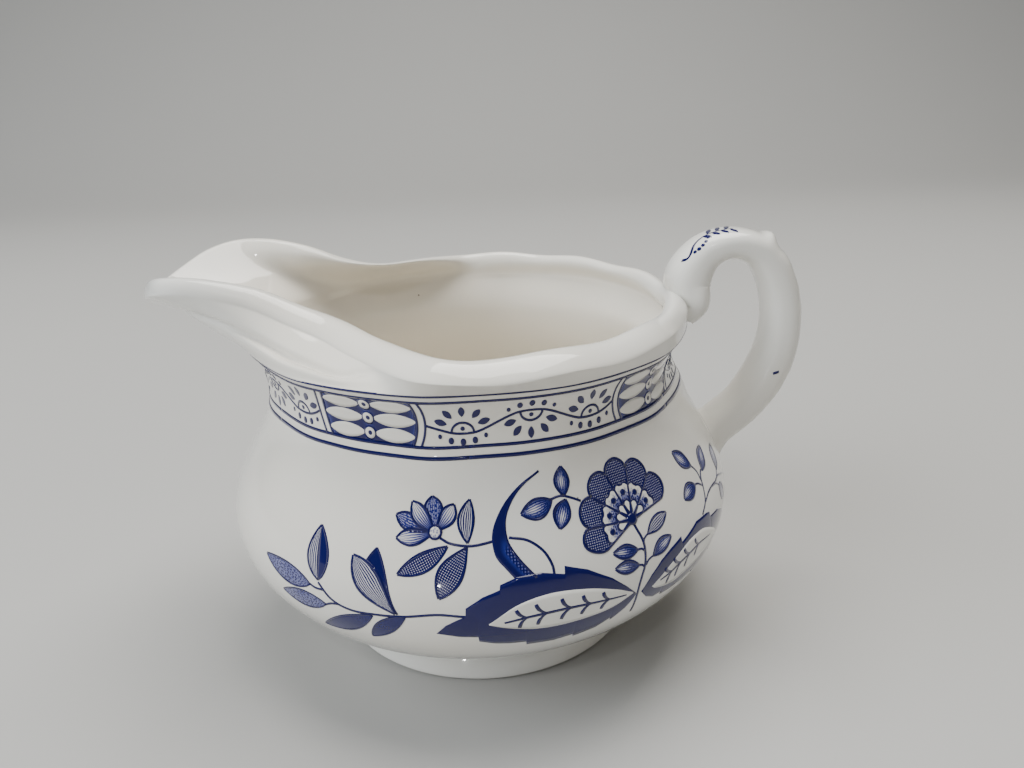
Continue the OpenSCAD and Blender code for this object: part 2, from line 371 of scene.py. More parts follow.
# nearness to the lip, cos(a)^4 on its side and 0 on the other, and the same for the handle
def lipShare(a):
    return np.maximum(np.cos(a), 0) ** 4


def backShare(a):
    return np.maximum(-np.cos(a), 0) ** 4


# crest of the rim at angle a: the smooth curve through the crest's rows, mirrored for the far side
def crest(a):
    w = np.degrees(a) % 360
    side = np.where(w > 180, -1.0, 1.0)
    w = np.where(w > 180, 360 - w, w)
    p = through(rimGuarded, np.interp(w, rimAngles, np.arange(len(rimAngles))))
    wave = jug["rimWave"] * np.cos(jug["panels"] * (a - np.radians(jug["panelTurn"]))) * (1 - lipShare(a))
    return p * np.stack([side * 0 + 1, side, side * 0 + 1], -1) + np.stack([wave * 0, wave * 0, wave], -1)


# level direction away from the jug, square to the crest
def outward(a):
    t = crest(a + 0.026) - crest(a - 0.026)
    size = np.hypot(t[..., 0], t[..., 1])
    return np.stack([t[..., 1] / size, -t[..., 0] / size, size * 0], -1)


# point at radius r and height z: (-r cos a, -r sin a, z)
def polar(r, z, a):
    r, z, a = np.broadcast_arrays(r, z, a)
    return np.stack([-r * np.cos(a), -r * np.sin(a), z], -1)


up = np.array([0, 0, 1.0])


# rounded rim: crest + outward x half width x cos(turn) + depth x (sin(turn) - 1) upward, and higher inside by
# tilt x distance x sin(turn); thinner at the lip and the handle, and deeper outside the lip
def bead(a, turn):
    lip, back, outer = lipShare(a), backShare(a), turn < np.pi / 2
    thin, thinInside = jug["lipThin"]
    wide = np.where(outer, jug["beadWide"] * (1 - thin * lip - jug["backThin"] * back),
                    jug["beadInside"] * (1 - thinInside * lip - jug["backThin"] * back))
    tall = jug["beadTall"] * (1 + np.where(outer, jug["lipDeep"], 0) * lip)
    push = wide * np.cos(turn) + jug["panelDepth"] * ridge(a) * (1 - lip) * np.cos(turn / 2)
    rise = tall * (np.sin(turn) - 1) - jug["beadTilt"] * (1 - lip) * push * np.sin(turn)
    return crest(a) + outward(a) * push[..., None] + up * rise[..., None]


# panel relief: the ridge's share times a depth that grows from belly to neck, less the tuck at the handle
def relief(a, z):
    panel = jug["panelDepth"] * ridge(a) * ease(z, *jug["panelHeights"])
    return panel - jug["tuck"] * backShare(a) * ease(z, *jug["tuckHeights"])


# turn at which the wall meets the rim: 9 degrees and three small waves, halved at the lip
def beadStart(a):
    away = 1 - 0.5 * lipShare(a)
    waves = 6 * np.cos(jug["panels"] * a + 0.6) + 4 * np.sin(5 * a + 1.3) + 2.5 * np.sin(17 * a)
    return np.radians(9 + away * waves)


# flared wall from the collar to the rim: straight in f and bowed up by bow x f(1-f) under the lip, with a
# bulge, a fold line and a flat face above it where the wall is tall
def web(a, f):
    p = polar(collar[0] + relief(a, collar[1]), collar[1], a)
    q = bead(a, beadStart(a))
    reach = q - p
    length = np.linalg.norm(reach, axis=-1)
    tall = ease(length, 3.5, 10)
    fold = 1 - jug["foldFace"] * tall / length
    along = np.cross(outward(a), up)
    side = np.cross(reach / length[..., None], along)
    side *= np.sign((side * outward(a)).sum(-1))[..., None]
    bulge = jug["foldBulge"] * (1 - 0.8 * lipShare(a)) * bell(f - 0.52 * fold, 0.3 * fold + 0.001)
    shape = tall * (bulge - jug["foldGroove"] * bell((f - fold) * length, 0.9))
    edge = ease(f, 0, 0.12) * (1 - ease(f, 0.88, 1))
    bow = jug["lipBow"] * f * (1 - f) * lipShare(a)
    return p + reach * f + side * (shape * edge)[..., None] + up * np.broadcast_to(bow, a.shape)[..., None]


# top of the neck on the inside
def throat(a):
    inside = collar[0] - jug["wall"] - jug["tuck"] * backShare(a)
    return polar(inside, collar[1] + 1.4 * lipShare(a), a)


# turn at which the rim passes into the inside wall: a quarter turn past the top, less where the way from
# there down to the throat is more level
def beadEnd(a):
    way = throat(a) - bead(a, np.full_like(a, np.pi))
    return np.pi / 2 + np.arctan2(1.2 - way[..., 2], np.hypot(way[..., 0], way[..., 1]))


# inside of that wall: a cubic curve that leaves the rim and meets the neck without a crease
def innerWeb(a, f):
    end, q, p = beadEnd(a), bead(a, beadEnd(a)), throat(a)
    leave = q - bead(a, end - 0.05)
    leave /= np.linalg.norm(leave, axis=-1)[..., None]
    arrive = polar(-0.35, -0.94, a)
    size = np.linalg.norm(p - q, axis=-1)[..., None]
    return bezier((q, q + leave * size * 0.4, p - arrive * np.minimum(size * 0.33, 3.0), p), f)


# rings of a revolved profile, with the panels' relief
def turned(profile, a, share=1.0):
    profile = np.asarray(profile, float)
    r, z = profile[:, 0][:, None], profile[:, 1][:, None]
    return polar(r + share * relief(a, z), z, a)


a = circle(jug["around"])
outsideRings = np.concatenate([
    turned([(14, 4.8), (20, 4.85), (27, 5.0), (29.5, 5.8)], a),
    turned(bezier(lowCurve, steps(44)), a),
    turned(bezier(highCurve, steps(54)[1:]), a),
    turned(bezier(neckCurve, steps(22)[1:]), a),
    np.array([web(a, f) for f in steps(30)[1:]]),
    np.array([bead(a, beadStart(a) + (beadEnd(a) - beadStart(a)) * f) for f in steps(34)[1:]]),
])
insideRings = np.concatenate([
    np.array([innerWeb(a, f) for f in steps(26)[1:]]),
    turned(bezier(innerNeck, steps(14)[1:-1]), a),
    turned(bezier(innerHigh, steps(28)), a),
    turned(bezier(innerLow, steps(28)[1:]), a),
    turned([(16, 8.9), (10, 8.8), (5, 8.8)], a, 0),
])
bodyRings = np.concatenate([outsideRings, insideRings])
verts, faces, uv = skin(bodyRings, (0, 0, 4.8), (0, 0, 8.8))
# share of the inside tone, partly painted shade: 0 outside, easing to 1 over the first rings down the inside
insideTintAndShade = np.concatenate([np.zeros(len(outsideRings)), ease(np.arange(len(insideRings)), 0, 16)])
insideTintAndShade = np.append(np.repeat(insideTintAndShade, len(a)), [0, 1])
body = makePiece("jugBody", verts, faces, uv, glaze, attributes=[("insideTintAndShade", "FLOAT", insideTintAndShade)])
settle(body, "body")
print("body made,", len(faces), "triangles")


# foot

foot = {"around": 240, "slipAround": 200, "outer": 31.8, "inner": 26.0, "height": 5.85}
footLine = [(29, 5.35), (30, foot["height"]), (30.7, 4.4), (31.5, 2.2), (foot["outer"], 0.9), (31.55, 0.35),
            (31, 0.04), (30.2, 0), (28.8, 0), (27.4, 0), (26.6, 0.1), (26.1, 0.5),
            (foot["inner"], 1.1),
            (26, 2.6), (26, 4.2), (26, 4.7), (27.4, 4.8)]
footTurn = circle(foot["around"])
footRing = makePiece("footRing", *loopSkin(turned(curve(footLine, 110, closed=True), footTurn, 0)), glaze)
settle(footRing, "foot_ring")

footSlip = curve([(24.8, 4.72), (25.4, 4.5), (25.8, 4.0), (25.99, 3.5), (26.2, 4.1), (26.0, 4.75)], 28,
                 closed=True)
slipTurn = circle(foot["slipAround"])
footLuting = makePiece("footLuting", *loopSkin(turned(footSlip, slipTurn, 0)), slip)
settle(footLuting, "foot_luting")
print("foot made")


# handle

handle = {
    "width": 11.0, "thick": 6.8,
    "spurHeight": 1.1, "spurAt": 5.45, "spurLong": 0.2,  # thumb spur on the shoulder
    "notch": 0.15,  # dip just below the spur
    "ripple": 0.1,  # faint leaf edges down the outside
    "steps": 220, "round": 64,  # rows along it and columns round it
}
# centre line in the XZ plane: x, z, share of the thickness, share of the width
handleRows = [(41.4, 63.5, 0.6, 1.2), (43.4, 66, 1.03, 1.3), (42.8, 70.2, 1.31, 1.15),
              (45.5, 74.9, 1.08, 0.98),
              (49.8, 77, 0.9, 0.94), (54.6, 76.4, 0.93, 0.92), (58.3, 73.5, 1.03, 0.92),
              (61, 67.8, 1.07, 0.95),
              (62, 61.4, 1.1, 0.98), (61.4, 54.9, 1.14, 1), (59, 48.6, 1.18, 1),
              (55.2, 43.1, 1.1, 1),
              (50.8, 39.2, 1.08, 1.04), (47.3, 36.1, 1, 1.12)]
handleGuarded = guard(handleRows)
handleLast = len(handleRows) - 1


# |v|^0.8 with the sign of v, which fills a round out towards a square
def squarish(v):
    return np.sign(v) * np.abs(v) ** 0.8


# strap's skin at row u and turn s: centre + normal x thickness x cos(s) + width x sin(s), a little squared,
# with the spur, the notch and the ripples on the outer side, grown by g
def strap(u, s, g):
    u, s, g = np.broadcast_arrays(np.asarray(u, float), np.asarray(s, float), np.asarray(g, float))
    c = through(handleGuarded, u)
    d = through(handleGuarded, np.minimum(u + 0.02, handleLast)) - through(handleGuarded,
                                                                           np.maximum(u - 0.02, 0))
    size = np.hypot(d[..., 0], d[..., 1])
    dx, dz = d[..., 0] / size, d[..., 1] / size
    outer = np.maximum(np.cos(s), 0)
    lump = handle["spurHeight"] * bell(u - handle["spurAt"], handle["spurLong"]) * outer * bell(np.sin(s),
                                                                                                0.75)
    lump = lump - handle["notch"] * bell(u - handle["spurAt"] - 0.42, 0.16) * outer
    for at, tall in ((6.3, 1.0), (7.05, 0.8), (7.6, 0.6), (9.3, 0.7), (9.9, 0.6)):
        lump = lump + handle["ripple"] * tall * bell(u - at, 0.16) * outer
    t = (handle["thick"] * c[..., 2] / 2 + g) * squarish(np.cos(s)) + lump
    w = (handle["width"] * c[..., 3] / 2 + g) * squarish(np.sin(s))
    return np.stack([c[..., 0] - dz * t, w, c[..., 1] + dx * t], -1)


turns = -circle(handle["round"])
places = np.linspace(0, handleLast, handle["steps"])
strapRings = strap(places[:, None], turns[None], 0)
ends = [(handleRows[0][0], 0, handleRows[0][1]), (handleRows[-1][0], 0, handleRows[-1][1])]
handlePiece = makePiece("handleStrap", *skin(strapRings, *ends), glaze)
settle(handlePiece, "handle")


# slip pressed round a joint: a collar that hugs the strap from row first to row last, thinning as (1-f)^2
# until its edge runs out under the strap's own surface
def makeLuting(name, node, first, last, thick):
    f = steps(24)[:, None]
    rows = first + (last - first) * f
    outer = strap(rows, turns[None], -0.06 + (thick + 0.06) * (1 - f) ** 2)
    inner = strap(rows[::-1], turns[None], -0.4)
    piece = makePiece(name, *loopSkin(np.concatenate([outer, inner])), slip)
    settle(piece, node)


makeLuting("upperLuting", "upper_handle_luting", 0.1, 1.1, 0.6)
makeLuting("lowerLuting", "lower_handle_luting", handleLast - 0.05, handleLast - 1.1, 1.3)
print("handle made")


# printed films

film = {
    "lift": 0.03, "step": 0.013,  # height of the lowest film, and rise per layer
    "sunk": -0.1, "grain": 0.8,  # depth of the hidden underside, and size of the cells
    "perRadian": 50,  # round the body, mm of the flat drawing for one radian
    "perRow": 6.0, "perTurn": 6.5, "middle": 0.5,  # on the handle, mm for one row and one radian, and middle
}
# tones: plain share, first lines, second lines, dots
solid, blank = (1, 0, 0, 0), (0, 0, 0, 0)
dotted, dark = (0.5, 0, 0, 0.95), (0.86, 0, 0, 1.0)
hatched, crossed = (0.24, 1, 0, 0), (0.3, 1, 1, 0)

profile = np.vstack([bezier(c, steps(300)) for c in (lowCurve, highCurve, neckCurve)])
profile = profile[np.concatenate([[True], np.linalg.norm(np.diff(profile, axis=0), axis=1) > 1e-6])]
reach = np.concatenate([[0], np.cumsum(np.linalg.norm(np.diff(profile, axis=0), axis=1))])
slope = np.gradient(profile, reach, axis=0)


# point on the jug for a print drawn flat: u runs round the jug from the front, s runs up the outside from the
# foot, and lift is the height above the glaze
def onBody(u, s, lift):
    a = np.pi / 2 + u / film["perRadian"]
    r, z = np.interp(s, reach, profile[:, 0]), np.interp(s, reach, profile[:, 1])
    dr, dz = np.interp(s, reach, slope[:, 0]), np.interp(s, reach, slope[:, 1])
    return polar(r + relief(a, z) + dz * lift, z - dr * lift, a)


# point on the handle: u runs across the strap's back, s along it
def onHandle(u, s, lift):
    return strap(s / film["perRow"], (u - film["middle"]) / film["perTurn"], lift)


# one printed piece, gathered as closed patches
class Sheet:
    def __init__(self, place, uvBox):
        self.place, self.uvBox = place, uvBox
        self.parts = []

    # adds one closed patch; plain films share two corners of the bake map, toned ones lie there as drawn
    def gather(self, flat, verts, faces, smooth, level, ink, hatch):
        if volume(verts, faces) < 0:
            faces = faces[:, ::-1]
        ink = np.broadcast_to(ink, (len(verts), 4))
        left, low, wide, tall, rows = self.uvBox
        row = np.floor((flat[:, :1].mean() - left) / (wide + 1e-9)) if rows > 1 else 0
        u, s = (flat[:, 0] - left - row * wide) / wide, (flat[:, 1] - low) / wide
        if ink[:, 1:].any() or np.ptp(ink[:, 0]) > 0:
            uv = xy(0.01 + 0.98 * u, 0.01 + 0.98 * s + (row + (level > 1)) * (tall / wide + 0.01))
        else:
            uv = xy(0.02 + 0.2 * u + (0.3 if ink[0, 0] > 0.5 else 0), 0.9 + 0.08 * s)
        self.parts.append((verts, faces, np.broadcast_to(smooth, len(faces)), np.clip(uv, 0, 1), ink, hatch))

    # film over a grid of flat points, rows x columns x 2
    def strip(self, grid, level=0, ink=solid, hatch=None):
        rows, cols = grid.shape[:2]
        both = lambda x: np.concatenate([x, x[:, ::-1]], 1).reshape(rows * 2 * cols, -1)
        flat = both(grid)
        lift = np.concatenate([np.full((rows, cols), film["lift"] + level * film["step"]),
                               np.full((rows, cols), film["sunk"])], 1).ravel()
        verts = self.place(flat[:, 0], flat[:, 1], lift)
        faces, place = gridFaces(rows, 2 * cols, wrapCols=True)
        smooth = place[:, :, 0].max(1) <= cols - 1
        j = np.arange(cols - 1)
        caps = []
        for start, order in ((0, 1), ((rows - 1) * 2 * cols, -1)):
            quad = start + np.stack([j, 2 * cols - 1 - j, 2 * cols - 2 - j, j + 1], 1)
            caps.append(quad[:, [0, 1, 2, 0, 2, 3]].reshape(-1, 3)[:, ::order])
        faces = np.concatenate([faces, *caps])
        smooth = np.concatenate([smooth, np.zeros(4 * (cols - 1), bool)])
        inks = both(np.broadcast_to(ink, (rows, cols, 4)))
        self.gather(flat, verts, faces, smooth, level, inks, both(grid if hatch is None else hatch))

    # film over a shape seen whole from its middle: rings shrink from the outline to the middle
    def patch(self, outline, middle, level=0, ink=solid):
        n = len(outline)
        middle = np.asarray(middle, float)
        rings = max(2, int(np.linalg.norm(outline - middle, axis=1).max() / film["grain"]) + 1)
        top = (middle + (outline - middle) * steps(rings + 1)[1:, None, None]).reshape(-1, 2)
        flat = np.vstack([middle, top, outline, middle])
        lift = np.full(len(flat), film["lift"] + level * film["step"])
        lift[-n - 1:] = film["sunk"]
        verts = self.place(flat[:, 0], flat[:, 1], lift)
        faces, place = gridFaces(rings + 1, n, wrapCols=True)
        smooth = place[:, :, 1].max(1) <= rings - 1
        j = np.arange(n)
        base = 1 + rings * n
        first = np.stack([np.zeros(n, int), 1 + (j + 1) % n, 1 + j], 1)
        last = np.stack([np.full(n, base + n), base + j, base + (j + 1) % n], 1)
        faces = np.concatenate([faces + 1, first, last])
        smooth = np.concatenate([smooth, np.ones(n, bool), np.zeros(n, bool)])
        self.gather(flat, verts, faces, smooth, level, np.asarray(ink, float), flat)

    # line of varying width along a curve
    def line(self, points, width, level=3, taper=(1,), smooth=True, closed=False):
        points = np.asarray(points, float)
        n = max(5, int(np.linalg.norm(np.diff(points, axis=0), axis=1).sum() / 0.55) + 2)
        c = curve(points, n, closed) if smooth and len(points) > 2 else straight(points, n)
        if closed:
            c = np.vstack([c, c[:1], c[1:2]])
        d = np.gradient(c, axis=0)
        d /= np.linalg.norm(d, axis=1)[:, None] + 1e-9
        side = xy(-d[:, 1], d[:, 0])
        w = width * np.interp(steps(len(c)), steps(len(taper)), taper)[:, None] / 2
        self.strip(np.stack([c + side * w, c - side * w], 1), level)

    # round or oval spot
    def dot(self, x, y, rx, ry=None, level=3, ink=solid):
        t = circle(18)
        self.patch(xy(x + rx * np.cos(t), y + (ry or rx) * np.sin(t)), (x, y), level, ink)

    # leaf: a centre line from base to tip that stands off by 4 bend t(1-t), and each side standing off that
    # by its bulge x sin(pi t^k)^full
    def leaf(self, base, tip, left, right, ink=solid, peak=0.45, bend=0, level=0, edge=0.32, halves=None,
             full=0.85, n=0):
        base, tip = np.asarray(base, float), np.asarray(tip, float)
        d = tip - base
        size = np.linalg.norm(d)
        normal = np.array([-d[1], d[0]]) / size
        n = n or max(10, int(size / film["grain"]) + 2)
        t = steps(n)
        swell = np.sin(np.pi * t ** (np.log(0.5) / np.log(peak))) ** full * 0.98 + 0.02
        mid = base + d * t[:, None] + normal * (bend * 4 * t * (1 - t))[:, None]
        g = np.linspace(-1, 1, 9)
        grid = mid[:, None] + normal * (swell[:, None] * np.where(g > 0, g * left, g * right))[..., None]
        hatch = xy(*np.broadcast_arrays(g * (left + right) / 2, (t * size)[:, None]))
        if halves:  # the two sides of the rib toned apart
            self.strip(grid[:, 4:], level, halves[0], hatch[:, 4:])
            self.strip(grid[:, :5], level, halves[1], hatch[:, :5])
        else:
            self.strip(grid, level, ink(g[None, :], t[:, None]) if callable(ink) else ink, hatch)
        for side in (-1, 0) if edge else ():
            self.line(grid[:, side], edge, level + 1, (0.8, 1.1, 0.9), False)

    def build(self, name, node):
        start = np.cumsum([0] + [len(p[0]) for p in self.parts[:-1]])
        verts, flatUv, ink, hatch = (np.vstack([p[k] for p in self.parts]) for k in (0, 3, 4, 5))
        faces = np.vstack([p[1] + k for p, k in zip(self.parts, start)])
        smooth = np.concatenate([p[2] for p in self.parts])
        piece = makePiece(name, verts, faces, flatUv[faces], printInk, smooth,
                          [("ink", "FLOAT_COLOR", ink), ("hatch", "FLOAT2", hatch)])
        settle(piece, node)
        print(name, "made,", len(faces), "triangles")


# leaf tone that pales towards a bright patch by the rib: plain share falls as a bell round (side, place)
def paling(side, place, deep=0.62):
    def tone(g, t):
        light = bell(g - side, 0.5) * bell(t - place, 0.27)
        return np.stack([deep * (1 - 0.95 * light), 1 - 0.6 * light, light * 0, 0.85 * (1 - light)], -1)
    return tone


# border round the neck

border = {
    "repeats": 5,  # repeats round the neck
    "lines": ((69.05, 0.56), (67.3, 0.6), (58.7, 0.56), (56.9, 0.66)),  # height and width of the four rings
    "panelAt": -20.0, "panelHalf": 10.4, "panelBow": 1.1,
    "panelMiddle": 63.05, "panelTall": 4.3,  # height of the panel's middle, and its half height
    "rows": (60.3, 63.05, 65.8),  # heights of the lattice's almonds
    "daisies": ((19, 61.2, 1), (32.2, 64.3, -1), (45, 61.4, 1)),  # place from the panel, height, way up
    "halfWay": 157.08,  # from the front to the handle
    "handleGap": 6.5,  # left free each side of the handle's root
    "map": (-157.2, 56.0, 14.0),  # left, low and height of its part of the bake map
}
pitch = 2 * film["perRadian"] * np.pi / border["repeats"]


# daisy seen from the side: a half disc with its eye, five petals above it and five dots below
def daisy(sheet, x, base, way):
    t = np.linspace(0, np.pi, 13)
    sheet.line(xy(x + 2.15 * np.cos(t), base + way * 1.8 * np.sin(t)), 0.44)
    eye = base + 0.7 * way
    sheet.dot(x, eye, 0.44, 0.38)
    for du, ds in ((-4.1, 1.2), (-2.7, 2.75), (0, 3.25), (2.7, 2.75), (4.1, 1.2)):
        ray = np.array([du * 0.84, ds]) / np.hypot(du * 0.84, ds) * 1.05 * [1.19, 1]
        centre, ray = np.array([x + du, eye + ds * way]), ray * [1, way]
        sheet.leaf(centre - ray, centre + ray, 0.62, 0.62, solid, 0.52, edge=0, level=2, full=0.75, n=12)
    for du, ds, size in ((-4.4, 1.35, 0.38), (-2.3, 2.1, 0.54), (0, 2.35, 0.56), (2.3, 2.1, 0.54),
                         (4.4, 1.35, 0.38)):
        sheet.dot(x + du, eye - ds * way, size, size * 1.1)


# how far the panel's ends stand out at height s: bow x (1 - (distance from the middle / half height)^2)
def panelLean(s):
    return border["panelBow"] * (1 - ((s - border["panelMiddle"]) / border["panelTall"]) ** 2)


# one repeat of the border, starting from u = shift
def borderRepeat(sheet, shift):
    bar, mid = border["panelHalf"], border["panelAt"] + shift
    s = border["panelMiddle"] + border["panelTall"] * np.linspace(-1, 1, 13)
    lean = panelLean(s)
    # ground of the lattice panel, then its almonds and rings
    f = np.linspace(-1, 1, 41)
    ground = xy(*np.broadcast_arrays(mid + f * (bar - 1.3 + lean)[:, None], s[:, None]))
    near = bell(np.abs(f) - 1, 0.09) + bell(f, 0.09)
    tone = np.stack([1 - 0.55 * near, 0 * f + 0.9, 0 * f + 0.6, 0 * f], -1)
    sheet.strip(ground, 0, np.broadcast_to(tone, (13, 41, 4)), ground * 1.3)
    for height in border["rows"]:
        for way in (-1, 1):
            inner, outer = mid + way * 1.2, mid + way * (bar - 1.35 + panelLean(height))
            t = (1 - np.cos(np.linspace(0, np.pi, 21))) / 2
            half = 1.27 * np.sin(np.pi * t) ** 0.62 + 0.01
            x = inner + (outer - inner) * t
            sheet.strip(np.stack([xy(x, height - half * g) for g in np.linspace(1, -1, 5)], 1), 1, blank)
        sheet.dot(mid, height, 1.45, 1.28, 2, (0.86, 0.5, 0, 0))
        sheet.dot(mid, height, 1.13, 1.0, 3, blank)
        sheet.dot(mid, height, 0.46, 0.42, 4)
    # curved bars at the panel's ends: blank between two lines
    for way in (-1, 1):
        for out, width in ((-1.15, 0.52), (0.45, 0.46)):
            sheet.line(xy(mid + way * (bar + out + lean), s), width, smooth=False)
    # wavy stem through the daisies' bases
    ends = bar + 0.5 + border["panelBow"]
    stem = [(mid + ends, 62.5)]
    for at, base, way in border["daisies"]:
        stem += [(mid + at + du, base + ds * way) for du,
                 ds in ((-3.9, 0.42), (-1.5, -0.12), (1.5, -0.12), (3.9, 0.42))]
        daisy(sheet, mid + at, base, way)
    sheet.line(stem + [(mid + pitch - ends, 62.7)], 0.42)


mapLeft, mapLow, mapTall = border["map"]
borderSheet = Sheet(onBody, (mapLeft, mapLow, pitch, mapTall, border["repeats"]))
u = np.linspace(border["handleGap"] - border["halfWay"], border["halfWay"] - border["handleGap"], 361)
wander = 0.06 * np.sin(u / 7) + 0.04 * np.sin(u / 2.6 + 1)
for height, width in border["lines"]:
    ring = np.stack([xy(u, height + wander + way * width / 2) for way in (1, -1)], 1)
    for k in range(0, 360, 60):
        borderSheet.strip(ring[k:k + 61], 3)
for k in range(border["repeats"]):
    borderRepeat(borderSheet, (k - border["repeats"] // 2) * pitch)
borderSheet.build("borderPrint", "border_transfer")


# sprays of flowers

spray = {
    "stem": 0.46, "outline": 0.44,  # widths of the stems and of the pale leaves' edges
    "peonyAt": (29.1, 42.4), "peonyPetals": 6, "peonySize": 1.0,
    "peonyTurn": (8, 208),  # where its first and last petals end, degrees
    "map": (-44, 20, 112, 38, 1),  # left, low, width, height and rows of its bake map
}


# two edges brought to shared places along u, so that teeth stay upright steps
def sharedEdges(top, low, n=64):
    top, low = np.asarray(top, float), np.asarray(low, float)
    x = np.unique(np.concatenate([np.linspace(top[0, 0], top[-1, 0], n), top[:, 0], low[:, 0]]))
    return [xy(x, np.interp(x, edge[:, 0], edge[:, 1])) for edge in (top, low)]


# film between two edges, with n strips of cells across
def between(sheet, upper, lower, n, level, ink):
    g = steps(n)[None, :, None]
    sheet.strip(upper[:, None] * (1 - g) + lower[:, None] * g, level, ink)


# long serrated leaf: filled between its two edges, with a blank inner panel and a vein with leaflets
def serratedLeaf(sheet, top, low, panelTop, panelLow, vein, leaflets, level=1):
    between(sheet, *sharedEdges(top, low), 17, level, solid)
    between(sheet, curve(panelTop, 34), curve(panelLow, 34), 9, level + 1, blank)
    rib = curve(vein, 40)
    sheet.line(vein, 0.5, level + 2, (0.8, 1.1, 1.0, 0.6))
    for place in leaflets:
        at = int(place * 39)
        root = rib[at]
        d = rib[min(at + 1, 39)] - rib[max(at - 1, 0)]
        d /= np.linalg.norm(d)
        for way in (1, -1):
            side = np.array([-d[1], d[0]]) * way
            size = 1.1 - 0.6 * abs(place - 0.45)
            away = [size * (side * out - d * down) for down, out in ((0.45, 0.3), (1.15, 1), (1.5, 1.9))]
            sheet.line(root + np.array([d * 0.3, *away]), 0.62, level + 2, (0.4, 0.6, 0.85, 1.2, 0.9))


# leaf given by its base, its tip and how far each side stands out, outlined and pale in the middle
def paleLeaf(sheet, base, tip, left, right, side=0, place=0.6, bend=0):
    sheet.leaf(base, tip, left, right, paling(side, place), 0.5, bend, edge=spray["outline"])


# points given as a row of pairs
def pairs(*numbers):
    return np.reshape(numbers, (-1, 2))


